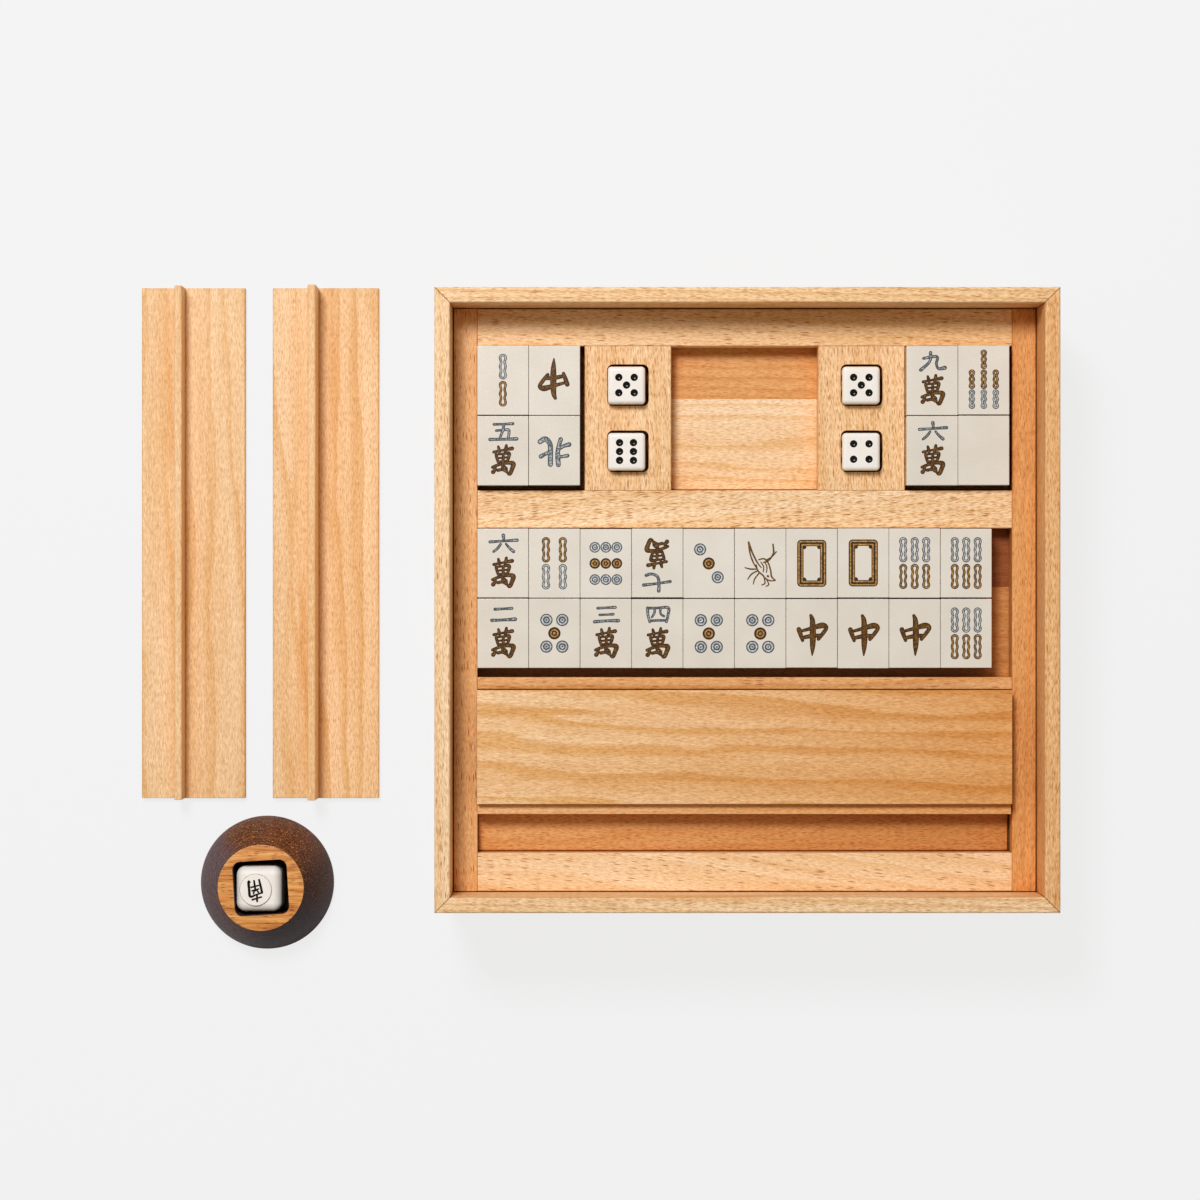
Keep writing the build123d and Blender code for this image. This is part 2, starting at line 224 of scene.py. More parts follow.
def wood(name, board, seed, mitred=False):
    """Beech: growth rings, slow mottling, fine fibres, bold and fine rays, and painted shade in corners
    and gaps.
    """
    mat = Material(name, 0.5, Specular_IOR_Level=0.3)
    shift = (seed * 1.37, seed * 0.71, seed * 0.39)
    rings = mat.math("MULTIPLY", growth_rings(mat, board, shift), board.rings)
    colour = tinted(mat, tone_and_shade(mat, board), rings, (0.88, 0.74, 0.50))
    slow = mat.noise(along_grain(mat, board, (5, 95, 95), shift), 2.0, 0.6)
    colour = tinted(mat, colour, mat.ramp(slow, (0.36, 0.0), (0.66, 0.9)), (0.92, 0.83, 0.68))
    fibre = mat.noise(along_grain(mat, board, (400, 1900, 1900), shift), 3.0, 0.7)
    light_and_dark = mat.ramp(fibre, (0.30, (0.80, 0.70, 0.57, 1.0)), (0.70, (1.17, 1.25, 1.36, 1.0)))
    colour = mat.mix(1.0, colour, light_and_dark, "MULTIPLY")
    fine = dashes(mat, along_grain(mat, board, (320, 2200, 2200), shift), 0.46, 0.8)
    colour = tinted(mat, colour, mat.math("MULTIPLY", fine, board.fine), (0.70, 0.47, 0.24))
    bold = dashes(mat, along_grain(mat, board, (150, 1300, 1300), shift), 0.36, 0.5)
    colour = tinted(mat, colour, mat.math("MULTIPLY", bold, board.bold), (0.54, 0.31, 0.12))
    if mitred:
        colour = tinted(mat, colour, mitre_line(mat), (0.40, 0.24, 0.12))
    # painted shade: wood closed in by its neighbours is warmed and darkened, softly where it is partly
    # closed and deeply in narrow gaps
    deep, wide = crevice_shade(mat)
    colour = tinted(mat, colour, wide, (1.00, 0.85, 0.62))
    colour = tinted(mat, colour, deep, (0.30, 0.15, 0.06))
    height = mat.math("SUBTRACT", fibre, mat.math("MAXIMUM", fine, bold))
    rough = mat.ramp(fibre, (0.3, 0.44), (0.7, 0.56))
    return mat.finish(colour, height, 0.15, 0.00012, rough)


# Tones of the boards, as lit: the photograph's wood runs from pale to orange.
PALE = srgb("#FADAB0")
LIGHT = srgb("#F6D0A0")
HONEY = srgb("#F0BF87")
ORANGE = srgb("#E6AA68")
RUST = srgb("#D08E4C")
# partly painted shade: the darkest tone, for a floor strip that lies in shade
SHADED_UMBER = srgb("#A9662E")

BOARDS = {
    "wall_left": Board("Y", PALE, 0.35, 0.005, 0.8, 0.7, 0.02),
    "wall_right": Board("Y", HONEY, 0.60, 0.005, 0.7, 0.9, -0.03),
    "wall_back": Board("X", PALE, 1.00, 0.004, 0.8, 0.9, 0.03),
    "front_rail": Board("X", PALE, 0.90, 0.004, 0.6, 0.8, 0.03),
    "base_panel": Board("X", HONEY, 0.45, 0.011, 0.4, 0.5),
    "tray_rail_left": Board("Y", HONEY, 0.35, 0.006, 1.0, 0.6, 0.03),
    "tray_rail_right": Board("Y", ORANGE, 0.45, 0.006, 0.3, 0.8, -0.02),
    "tray_bar_back": Board("X", LIGHT, 0.55, 0.006, 1.0, 0.6, 0.03),
    "tray_bar_middle": Board("X", PALE, 0.65, 0.005, 1.0, 1.0, -0.10),
    "tray_bar_divider": Board("X", HONEY, 0.95, 0.006, 0.9, 0.3),
    "tray_bar_front": Board("X", PALE, 0.50, 0.008, 1.0, 0.2, 0.12),
    "dice_block_left": Board("Y", LIGHT, 0.45, 0.006, 0.8, 1.0, 0.04),
    "dice_block_right": Board("Y", LIGHT, 0.45, 0.006, 0.8, 1.0, 0.06),
    "rack_a_plank": Board("Y", LIGHT, 0.80, 0.012, 0.0, 0.45, 0.01),
    "rack_a_rib": Board("Y", LIGHT, 0.35, 0.005, 0.0, 0.4),
    "rack_b_plank": Board("Y", LIGHT, 1.00, 0.016, 0.0, 0.55, 0.02),
    "rack_b_rib": Board("Y", LIGHT, 0.35, 0.005, 0.0, 0.4),
    # the last tone of each of these racks is painted shade towards its right end
    "rack_c_plank": Board("X", ORANGE, 0.50, 0.008, 0.2, 0.9, 0.01, RUST),
    "rack_c_rib": Board("X", HONEY, 0.60, 0.004, 0.1, 0.6, 0.0, ORANGE),
    "rack_d_plank": Board("X", LIGHT, 1.30, 0.011, 0.1, 0.5, 0.03, ORANGE),
    "rack_d_rib": Board("X", HONEY, 0.35, 0.005, 0.4, 0.5),
}
for side in ("left", "right"):
    for node in ("tray_ledge", "runner_lower", "runner_upper"):
        BOARDS[f"{node}_{side}"] = Board("Y", HONEY)
    for level in ("lower", "upper"):
        BOARDS[f"{level}_drawer_side_{side}"] = Board("Y", LIGHT)
for level in ("lower", "upper"):
    BOARDS[f"{level}_drawer_front"] = Board("X", LIGHT, 0.70, 0.007, 0.4, 0.6)
    BOARDS[f"{level}_drawer_back"] = Board("X", LIGHT, 0.40, 0.007)
    BOARDS[f"{level}_drawer_bottom"] = Board("X", PALE, 0.45, 0.012)
MITRED = ("wall_left", "wall_right", "wall_back", "front_rail")


# ---- pieces

def place(obj, node, *materials, smooth=False):
    """Put a finished piece in the scene, on the body of its node."""
    for material in materials:
        obj.data.materials.append(material)
    for face in obj.data.polygons:
        face.use_smooth = smooth
    bpy.context.scene.collection.objects.link(obj)
    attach(obj, BODY_OF[node])
    return obj


def object_from(mesh_data, name):
    """A new object from a bmesh, which is freed."""
    mesh = bpy.data.meshes.new(name)
    mesh_data.to_mesh(mesh)
    mesh_data.free()
    return bpy.data.objects.new(name, mesh)


def rounded(mesh_data, radius, segments, least_angle=25.0):
    """Round every edge sharper than the given angle."""
    limit = math.radians(least_angle)
    sharp = [e for e in mesh_data.edges if len(e.link_faces) == 2 and e.calc_face_angle() > limit]
    bmesh.ops.bevel(mesh_data, geom=sharp, offset=radius, segments=segments, profile=0.5,
                    affect="EDGES", clamp_overlap=True)


WELD = 1e-6             # corners of a CAD mesh that lie closer than this are one
BOARD_EDGE = 0.25 * MM
STRIP_EDGE = 0.06 * MM


def welded(node):
    """A bmesh of a CAD node, its faces joined at their edges."""
    mesh_data = bmesh.new()
    mesh_data.from_mesh(frame["nodes"][node].data)
    bmesh.ops.remove_doubles(mesh_data, verts=mesh_data.verts, dist=WELD)
    return mesh_data


def rounded_block(low, high, radius, segments):
    """A block with round edges, as a bmesh."""
    mesh_data = bmesh.new()
    bmesh.ops.create_cube(mesh_data, size=1.0)
    middle, size = (low + high) / 2, high - low
    for vert in mesh_data.verts:
        vert.co = middle + Vector(a * b for a, b in zip(vert.co, size))
    rounded(mesh_data, radius, segments)
    return mesh_data


def skin(rings):
    """A closed bmesh through rings of points, from the bottom to the top, with flat ends."""
    mesh_data = bmesh.new()
    rings = [[mesh_data.verts.new(point) for point in ring] for ring in rings]
    count = len(rings[0])
    for low, high in zip(rings, rings[1:]):
        for i in range(count):
            j = (i + 1) % count
            mesh_data.faces.new((low[i], low[j], high[j], high[i]))
    mesh_data.faces.new(rings[0][::-1])
    mesh_data.faces.new(rings[-1])
    return mesh_data


def over(low, high, level):
    """The point over the middle of a box, at a level."""
    return Vector(((low.x + high.x) / 2, (low.y + high.y) / 2, level))


def whole_faces(node):
    """A bmesh of a CAD node with its flat faces whole again."""
    mesh_data = welded(node)
    bmesh.ops.dissolve_limit(mesh_data, angle_limit=math.radians(1.0), verts=mesh_data.verts,
                             edges=mesh_data.edges)
    return mesh_data


def make_boards():
    """Every wooden board, its edges rounded by hand-sanding."""
    for seed, (node, look) in enumerate(BOARDS.items(), start=1):
        mesh_data = whole_faces(node)
        rounded(mesh_data, BOARD_EDGE, 2)
        board = object_from(mesh_data, node + "_wood")
        place(board, node, wood(node + "_beech", look, seed, node in MITRED))
        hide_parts(node)


# The tray's floor: the seams between its strips, from the front, and each strip's tone and pitch.
FLOOR_SEAMS = (-0.0700, -0.0130, 0.0056, 0.0480, 0.0870)
# the fourth strip is umber partly as painted shade, where the end of the tile row lies in the shade of the
# tiles and the middle bar
FLOOR_LOOKS = ((LIGHT, 0.007), (ORANGE, 0.006), (ORANGE, 0.007),
               (SHADED_UMBER, 0.004), (PALE, 0.007), (ORANGE, 0.005))
FLOOR_SEED = 60


def make_tray_floor():
    """The floor panel, glued up from strips that differ in tone; the fourth strip's dark tone is partly
    painted shade.
    """
    low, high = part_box("tray_floor")
    seams = (low.y, *FLOOR_SEAMS, high.y)
    for i, (tone, pitch) in enumerate(FLOOR_LOOKS):
        name = f"tray_floor_strip_{i + 1}"
        start, end = Vector((low.x, seams[i], low.z)), Vector((high.x, seams[i + 1], high.z))
        strip = object_from(rounded_block(start, end, STRIP_EDGE, 1), name)
        look = Board("X", tone, 0.8, pitch, 0.2, 0.6)
        place(strip, "tray_floor", wood(name + "_beech", look, FLOOR_SEED + i))
        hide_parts("tray_floor")


# ---- tiles

TILE_ROUND = 0.28 * MM
TILE_SEGMENTS = 3
TILE_SPREAD = (0.05 * MM, 0.36 * MM)    # how much the sides and the ends of tiles differ at most


def tile_plastic():
    """Polished warm white resin, very slightly clouded, with painted shade in the seams between tiles."""
    mat = Material("tile_resin", 0.24, Specular_IOR_Level=0.5, Coat_Weight=0.15, Coat_Roughness=0.1)
    cloud = mat.noise(mat.coords((55, 55, 55)), 3.0)
    colour = mat.ramp(cloud, (0.3, srgb("#E6E0D3")), (0.7, srgb("#EDE8DC")))
    one_tile = mat.add("NewGeometry").outputs["Random Per Island"]
    colour = tinted(mat, colour, one_tile, (0.90, 0.88, 0.84))
    # painted shade: resin in narrow seams and gaps is darkened
    colour = tinted(mat, colour, crevice_shade(mat)[0], (0.60, 0.48, 0.33))
    fine = mat.noise(mat.coords((900, 900, 900)), 2.0)
    rough = mat.ramp(fine, (0.3, 0.20), (0.7, 0.30))
    return mat.finish(colour, fine, 0.03, 0.00003, rough)


def paint(name, low, high):
    """Paint in an engraved mark, uneven, its bright patches partly painted glints of the metallic paint.
    """
    mat = Material(name, 0.45, Specular_IOR_Level=0.2)
    patches_and_glints = mat.noise(mat.coords((1700, 1700, 1700)), 3.0, 0.6)
    # painted highlight: the bright end of the ramp stands partly for glints
    colour = mat.ramp(patches_and_glints, (0.46, srgb(low)), (0.60, srgb(high)))
    return mat.finish(colour, patches_and_glints, 0.4, 0.00005)


def solids_of(node):
    """The boxes of the separate solids in a node, left to right and back to front."""
    mesh_data = welded(node)
    boxes, seen = [], set()
    for start in mesh_data.verts:
        if start in seen:
            continue
        group, queue = [], [start]
        seen.add(start)
        while queue:
            vert = queue.pop()
            group.append(vert.co.copy())
            for edge in vert.link_edges:
                other = edge.other_vert(vert)
                if other not in seen:
                    seen.add(other)
                    queue.append(other)
        low = Vector(min(c[i] for c in group) for i in range(3))
        high = Vector(max(c[i] for c in group) for i in range(3))
        boxes.append((low, high))
    mesh_data.free()
    return sorted(boxes, key=lambda b: (-round(b[0].y, 4), b[0].x))


def keep_flats_flat(obj):
    """Shade the round edges smoothly and the faces flat."""
    weighted = obj.modifiers.new("weighted", "WEIGHTED_NORMAL")
    weighted.mode = "FACE_AREA"
    weighted.weight = 90


def make_tiles(node, resin):
    """The tiles of one node as one piece; returns the tiles' boxes."""
    boxes = solids_of(node)
    chance = random.Random(node)
    whole = bmesh.new()
    for i, (low, high) in enumerate(boxes):
        low = low + Vector((*(chance.random() * spread for spread in TILE_SPREAD), 0))
        high = high - Vector((*(chance.random() * spread for spread in TILE_SPREAD), 0))
        boxes[i] = low, high
        one = rounded_block(low, high, TILE_ROUND, TILE_SEGMENTS)
        mesh = bpy.data.meshes.new("one_tile")
        one.to_mesh(mesh)
        one.free()
        whole.from_mesh(mesh)
        bpy.data.meshes.remove(mesh)
    tiles = place(object_from(whole, node + "_resin"), node, resin, smooth=True)
    keep_flats_flat(tiles)
    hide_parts(node)
    return boxes


# ---- drawing in millimetres

EDGE, FILL, SHINE = 0, 1, 2     # a mark's dark edge, its paint and its bright lines; on brushed strokes and sticks the dark edge is painted shade of the engraving's walls
LEVEL = {EDGE: 0.01, FILL: 0.06, SHINE: 0.06}
LIFT = 0.001            # each plate lies this much over the one drawn before it
SINK = 0.05             # how deep a mark reaches into the face
THINNEST = 0.03         # half the width of the thinnest line
ROUND_END = (80, 50, 22)        # angles at which a stroke's round end is drawn, in degrees


def round_angles(count):
    """Evenly spread angles of a full turn."""
    return [2 * math.pi * i / count for i in range(count)]


def turned_by(angle, x, y):
    """A flat point turned about the origin."""
    across, up = math.cos(angle), math.sin(angle)
    return x * across - y * up, x * up + y * across


class Drawing:
    """Closed flat plates on a tile's face, in millimetres about its middle."""

    def __init__(self):
        self.verts, self.faces, self.layers, self.plates = [], [], [], 0

    def strip(self, sides, layer, closed=False):
        """A plate between pairs of points, its two long sides."""
        start, count = len(self.verts), len(sides)
        self.plates += 1
        top = LEVEL[layer] + LIFT * self.plates
        for left, right in sides:
            for height in (top, -SINK):
                self.verts += [(*left, height), (*right, height)]
        spans = [(i, (i + 1) % count) for i in range(count if closed else count - 1)]
        for i, j in spans:
            a, b = start + 4 * i, start + 4 * j
            self.faces += [(a, a + 1, b + 1, b), (a + 2, b + 2, b + 3, a + 3)]
            self.faces += [(a, b, b + 2, a + 2), (a + 1, a + 3, b + 3, b + 1)]
            self.layers += [layer] * 4
        if not closed:
            for a in (start, start + 4 * (count - 1)):
                self.faces.append((a, a + 2, a + 3, a + 1))
                self.layers.append(layer)

    def ring(self, x, y, outer, inner, layer, count=28):
        """A flat ring."""
        pairs = [((x + outer * math.cos(t), y + outer * math.sin(t)),
                  (x + inner * math.cos(t), y + inner * math.sin(t))) for t in round_angles(count)]
        self.strip(pairs, layer, closed=True)

    def disc(self, x, y, radius, layer, count=9):
        """A disc, laid out as a strip from its left to its right."""
        turns = [math.pi * (0.02 + 0.96 * i / (count - 1)) for i in range(count)]
        pairs = [((x - radius * math.cos(t), y + radius * math.sin(t)),
                  (x - radius * math.cos(t), y - radius * math.sin(t))) for t in turns]
        self.strip(pairs, layer)

    def brush(self, points, layer, grow=0.0, steps=5):
        """A brush stroke through (x, y, width) points, with round ends."""
        path = smooth_path(points, steps)
        sides = []
        for i, (x, y, width) in enumerate(path):
            before, after = path[max(i - 1, 0)], path[min(i + 1, len(path) - 1)]
            dx, dy = after[0] - before[0], after[1] - before[1]
            length = math.hypot(dx, dy) or 1.0
            sides.append((x, y, dx / length, dy / length, max(width / 2 + grow, THINNEST)))
        first, last = sides[0], sides[-1]
        turns = [math.radians(a) for a in ROUND_END]
        head = [cap_side(first, -t) for t in turns]
        tail = [cap_side(last, t) for t in reversed(turns)]
        self.strip([*head, *[cap_side(s, 0.0) for s in sides], *tail], layer)


def cap_side(side, turn):
    """The two points across a stroke, or across its round end at an angle."""
    x, y, dx, dy, half = side
    x, y = x + half * math.sin(turn) * dx, y + half * math.sin(turn) * dy
    half *= math.cos(turn)
    return (x - dy * half, y + dx * half), (x + dy * half, y - dx * half)


def smooth_path(points, steps):
    """Points on a smooth curve through the given ones."""
    if len(points) == 2:
        steps = 1
    ends = [points[0], *points, points[-1]]
    path = []
    for i in range(1, len(ends) - 2):
        p0, p1, p2, p3 = ends[i - 1:i + 3]
        for step in range(steps):
            t = step / steps
            path.append(tuple(
                0.5 * (2 * b + (c - a) * t + (2 * a - 5 * b + 4 * c - d) * t * t
                       + (3 * b - a - 3 * c + d) * t ** 3)
                for a, b, c, d in zip(p0, p1, p2, p3)))
    path.append(tuple(points[-1]))
    return path


INK_GROW = 0.08         # the dark edge, painted shade of the engraving's walls, reaches this far past a stroke's side
INK_INSET = 0.36        # and the paint stays this far within it, in millimetres


def sign(ink, strokes, x=0.0, y=0.0, scale=(1.0, 1.0), turned=False, weight=1.2):
    """A sign's strokes about a point, upside down where the tile is turned: dark edges of painted shade
    with paint.
    """
    flip = -1 if turned else 1
    for points in strokes:
        path = [(flip * (x + px * scale[0]), flip * (y + py * scale[1]), w * weight)
                for px, py, w in points]
        # painted shade: the dark edge round each stroke
        ink.brush(path, EDGE, INK_GROW)
        ink.brush(path, FILL, -INK_INSET)


SILVER_RINGS = ((0.80, 0.56), (0.34, 0.14))     # a dot's bright rings, as shares of its radius
BRONZE_RINGS = ((0.68, 0.44), (0.20, 0.02))


def dot(ink, x, y, radius, rings):
    """A round mark: a dark disc with bright rings."""
    ink.disc(x, y, radius, EDGE, 15)
    for outer, inner in rings:
        ink.ring(x, y, radius * outer, radius * inner, SHINE)


STICK_WALL = 1.15       # thickness of a stick's ring
STICK_RIM = 0.40        # dark edge on each side of its paint, painted shade of the engraving's walls
STICK_WAIST = 0.42      # how far a stick draws in between its three lobes
STICK_STEPS = 36        # points along each of its sides


def stick_side(y, half, reach, length):
    """Half the width of a stick or of its slit at a height; length is the whole stick's."""
    beyond = abs(y) - (reach - half)
    end = math.sqrt(max(1 - (beyond / half) ** 2, 0.0)) if beyond > 0 else 1.0
    waist = 0.5 - 0.5 * math.cos(6 * math.pi * y / length) if abs(y) < length / 3 else 0.0
    return max(half * end - STICK_WAIST * waist, 0.0)


def stick(ink, x, y, length, half):
    """A bamboo stick: a ring in three lobes, its paint between dark edges that are painted shade."""
    levels = [math.cos(math.pi * i / STICK_STEPS) for i in range(STICK_STEPS + 1)]
    turns = [(1, c) for c in levels[:-1]] + [(-1, c) for c in levels[:0:-1]]
    for outset, wall, layer in ((0.0, STICK_WALL, EDGE), (STICK_RIM, STICK_WALL - STICK_RIM, SHINE)):
        pairs = []
        for side, c in turns:
            points = []
            for inset in (outset, wall):
                reach = length / 2 - inset
                width = stick_side(c * reach, half - inset, reach, length)
                points.append((x + side * width, y + c * reach))
            pairs.append(tuple(points))
        ink.strip(pairs, layer, closed=True)


def round_rect(width, height, radius, count=6):
    """Points round a rectangle with round corners."""
    points = []
    for quarter, (sx, sy) in enumerate(((1, 1), (-1, 1), (-1, -1), (1, -1))):
        for i in range(count + 1):
            t = math.pi / 2 * (quarter + i / count)
            points.append((sx * (width / 2 - radius) + radius * math.cos(t),
                           sy * (height / 2 - radius) + radius * math.sin(t)))
    return points


FRAME_W, FRAME_L = 12.5, 20.1
FRAME_BANDS = ((0.0, 2.75, EDGE), (0.50, 1.05, SHINE), (1.85, 2.40, SHINE))
FRAME_ROUND = 1.7
STUD_IN, STUD_R = 3.0, 1.0      # the dark quarter rounds inside the frame's corners


def framed(ink, _):
    """The frame of the white dragon tile: a dark band with two bright lines."""
    for outer, inner, layer in FRAME_BANDS:
        outside = round_rect(FRAME_W - 2 * outer, FRAME_L - 2 * outer, max(FRAME_ROUND - outer, 0.3))
        inside = round_rect(FRAME_W - 2 * inner, FRAME_L - 2 * inner, max(FRAME_ROUND - inner, 0.2))
        ink.strip(list(zip(outside, inside)), layer, closed=True)
    for sx in (1, -1):
        for sy in (1, -1):
            ink.disc(sx * (FRAME_W / 2 - STUD_IN), sy * (FRAME_L / 2 - STUD_IN), STUD_R, EDGE)


def brushed(text):
    """A sign's brush strokes, one a line, through 'x y width' points in tenths of a millimetre."""
    return [[tuple(int(n) / 10 for n in point.split()) for point in line.split(",")]
            for line in text.strip().splitlines()]


# Each sign stands about its own middle.
WAN = brushed("""
    -44 36 9, 0 44 7, 45 52 12
    -22 60 7, -18 46 10, -15 30 6
    17 65 8, 15 50 11, 9 34 6
    -32 24 10, -29 10 9, -23 -8 8
    -32 25 6, 0 28 7, 29 31 11, 29 15 10, 23 -3 8
    -24 9 6, 23 13 6
    -21 -7 7, 22 -3 7
    2 28 8, 1 -6 9, -3 -42 8
    -50 -31 9, -24 -21 9, 20 -12 10, 50 -15 15, 45 -38 13, 33 -60 12, 19 -53 5
    -37 -26 9, -39 -42 10, -47 -52 13
    -24 -44 10, -2 -41 9, 16 -47 12
    9 -26 5, 17 -37 9
""")
ONE = brushed("-54 -3 9, 0 0 8, 56 3 11")
TWO = brushed("""
    -38 25 10, 0 27 8, 38 29 10
    -52 -25 11, 0 -23 9, 53 -20 13
""")
THREE = brushed("""
    -39 30 9, 0 32 8, 40 34 10
    -30 0 8, 0 1 7, 31 3 9
    -53 -31 11, 0 -27 9, 54 -26 12
""")
FOUR = brushed("""
    -46 32 10, -44 0 9, -36 -31 8
    -46 31 9, 0 32 8, 47 33 10, 46 0 9, 39 -30 9
    -14 29 8, -15 10 8, -26 -9 7
    12 29 8, 13 6 7, 28 -5 8
    -36 -26 8, 0 -24 8, 40 -24 8
""")
FIVE = brushed("""
    -42 35 9, 0 36 8, 43 38 10
    3 34 9, -3 6 9, -16 -28 8
    -32 7 8, 0 9 8, 25 9 10, 22 -26 8
    -60 -33 11, 0 -32 9, 60 -30 12
""")
SIX = brushed("""
    0 42 12, 2 26 9
    -60 12 10, 0 16 8, 62 20 11
    -12 2 8, -26 -17 9, -44 -32 8
    12 3 7, 28 -16 9, 46 -31 11
""")
SEVEN = brushed("""
    -60 0 10, 0 9 8, 60 16 11
    -8 42 12, -9 12 10, -4 -20 10, 22 -34 9, 48 -28 11
""")
EIGHT = brushed("""
    -14 32 10, -24 -2 9, -54 -32 9
    9 36 9, 24 2 10, 56 -31 13
""")
NINE = brushed("""
    -10 42 11, -14 2 9, -54 -36 12
    -42 16 9, 18 24 10, 16 -8 9, 26 -30 9, 54 -26 14
""")
MIDDLE = brushed("""
    -58 17 12, -50 -6 11, -41 -30 8
    -50 9 7, 0 22 10, 46 34 15, 66 25 10, 52 2 10, 30 -24 9
    -42 -19 9, 0 -11 11, 37 -9 9
    -4 76 8, 3 54 13, 5 0 16, 4 -54 13, 2 -93 3
""")
NORTH = brushed("""
    -20 72 16, -17 30 17, -19 -10 14, -32 -56 15
    -66 26 13, -42 30 11, -20 34 12
    -74 -30 16, -46 -22 12, -22 -6 12
    68 30 15, 46 18 12, 24 8 13
    20 70 17, 20 20 18, 22 -32 17, 46 -58 18, 72 -44 17
""")
SOUTH = brushed("""
    -30 43 7, 0 46 6, 31 49 8
    2 62 8, 0 46 8, -5 26 7
    -40 20 9, -38 -16 9, -35 -52 8
    -40 20 7, 2 26 7, 42 30 10, 41 -10 10, 36 -52 10, 26 -46 4
    -16 14 7, -9 3 6
    17 17 7, 9 4 6
    -22 -3 6, 23 1 7
    -25 -22 6, 25 -19 7
    1 2 8, 0 -22 8, -1 -52 7
""")
BIRD = brushed("""
    -50 90 8, -34 46 7, -14 6 6, 4 -18 4
    -50 90 7, -44 44 6, -30 4 6, -12 -26 4
    54 82 6, 56 44 7, 36 14 7, 14 4 5
    68 50 5, 46 26 6, 26 16 4
    -6 16 5, 16 20 6, 34 2 6, 44 -30 6, 48 -56 6, 64 -72 5
    -18 -6 5, -10 -32 6, 10 -50 6, 24 -66 6, 44 -74 5, 64 -72 5
    32 -54 9, 33 -55 9
    -18 -24 5, -42 -24 6, -66 -18 4
    -14 -32 5, -38 -46 6, -54 -68 4
    -6 -42 5, -24 -66 5, -30 -88 4
    2 6 4, 14 -14 5, 12 -36 4
    18 8 4, 28 -14 5, 26 -38 4
    16 -62 4, 20 -84 5, 6 -92 4
    28 -72 4, 36 -90 5, 24 -98 4
""")
FINE_PEN = 1.1          # a line drawing's strokes are this much wider than its table says
NUMBERS = (None, ONE, TWO, THREE, FOUR, FIVE, SIX, SEVEN, EIGHT, NINE)
NUMBER_SHAPE = (0.2, 7.9, (0.95, 0.95))         # where a sign stands on its tile, and its scale
WAN_SHAPE = (0.0, -4.1, (0.88, 0.97))
WAN_WEIGHT = 1.35


def character(number, turned=False):
    """A number sign in silver over the bronze sign for ten thousand."""
    def draw(bronze, silver):
        sign(silver, NUMBERS[number], *NUMBER_SHAPE, turned)
        sign(bronze, WAN, *WAN_SHAPE, turned, WAN_WEIGHT)
    return draw


def line_drawing(strokes):
    """A figure in fine bronze lines."""
    def draw(bronze, _):
        for points in strokes:
            bronze.brush([(x, y, FINE_PEN * w) for x, y, w in points], FILL)
    return draw


def dots(radius, places):
    """Round marks; each place is (x, y, True for bronze)."""
    def draw(bronze, silver):
        for x, y, is_bronze in places:
            if is_bronze:
                dot(bronze, x, y, radius, BRONZE_RINGS)
            else:
                dot(silver, x, y, radius, SILVER_RINGS)
    return draw


def sticks(length, half, places):
    """Bamboo sticks; each place is (x, y, True for bronze)."""
    def draw(bronze, silver):
        for x, y, is_bronze in places:
            stick(bronze if is_bronze else silver, x, y, length, half)
    return draw


def one_sign(strokes, in_bronze, scale, turned=False, weight=1.2):
    """A single sign that fills the tile."""
    def draw(bronze, silver):
        sign(bronze if in_bronze else silver, strokes, scale=scale, turned=turned, weight=weight)
    return draw


def blank(*_):
    """A spare tile has no mark."""


def grid(columns, rows, step_x, step_y, bronze_rows=()):
    """Places on a grid about the tile's middle; the named rows, from the top, are bronze."""
    return [((i - (columns - 1) / 2) * step_x, ((rows - 1) / 2 - j) * step_y, j in bronze_rows)
            for i in range(columns) for j in range(rows)]


def shifted(places, up):
    """The same places further up the tile."""
    return [(x, y + up, is_bronze) for x, y, is_bronze in places]


CORNERS = grid(2, 2, 6.8, 11.4)
DIAGONAL = [(-3.7, 6.0, False), (0.0, 0.0, True), (3.8, -5.9, False)]
CLIMB = [(-4.4, 8.4, False), (0.0, 6.9, False), (4.4, 5.4, False)]
DOTS = [None, dots(4.2, [(0, 0, True)]), dots(2.9, grid(1, 2, 0, 12.0, (0,))), dots(2.6, DIAGONAL),
        dots(2.65, grid(2, 2, 7.2, 12.0, (0,))), dots(2.65, CORNERS + [(0, 0, True)]),
        dots(2.4, grid(2, 3, 6.8, 7.0, (0,))),
        dots(2.1, CLIMB + shifted(grid(2, 2, 6.0, 5.4, (0, 1)), -4.8)),
        dots(2.2, grid(2, 4, 6.4, 5.6)), dots(2.3, grid(3, 3, 4.7, 6.9, (1,)))]
STICKS = [None, None, sticks(11.0, 1.75, grid(1, 2, 0, 11.6, (1,))),
          sticks(10.8, 1.75, [(0, 5.8, True)] + shifted(grid(2, 1, 7.0, 0), -5.8)),
          sticks(10.9, 1.8, grid(2, 2, 7.2, 11.5, (0,))),
          sticks(10.6, 1.7, CORNERS + [(0, 0, True)]), sticks(10.8, 1.75, grid(3, 2, 4.9, 11.4, (1,))),
          sticks(8.4, 1.4, [(0, 8.8, True)] + shifted(grid(3, 2, 5.1, 8.5, (0,)), -3.95)),
          sticks(10.8, 1.5, grid(4, 2, 4.4, 11.4, (1,))), sticks(7.4, 1.5, grid(3, 3, 5.0, 7.9, (1,)))]

MIDDLE_MARK, MIDDLE_TURNED = (one_sign(MIDDLE, True, (0.95, 1.0), turned, 1.6) for turned in (False, True))
NORTH_MARK, NORTH_TURNED = (one_sign(NORTH, False, (0.85, 0.85), turned) for turned in (False, True))
SOUTH_MARK = one_sign(SOUTH, False, (1.5, 1.3), weight=1.6)
BIRD_MARK = line_drawing(BIRD)
DRAWER_TILES = 58

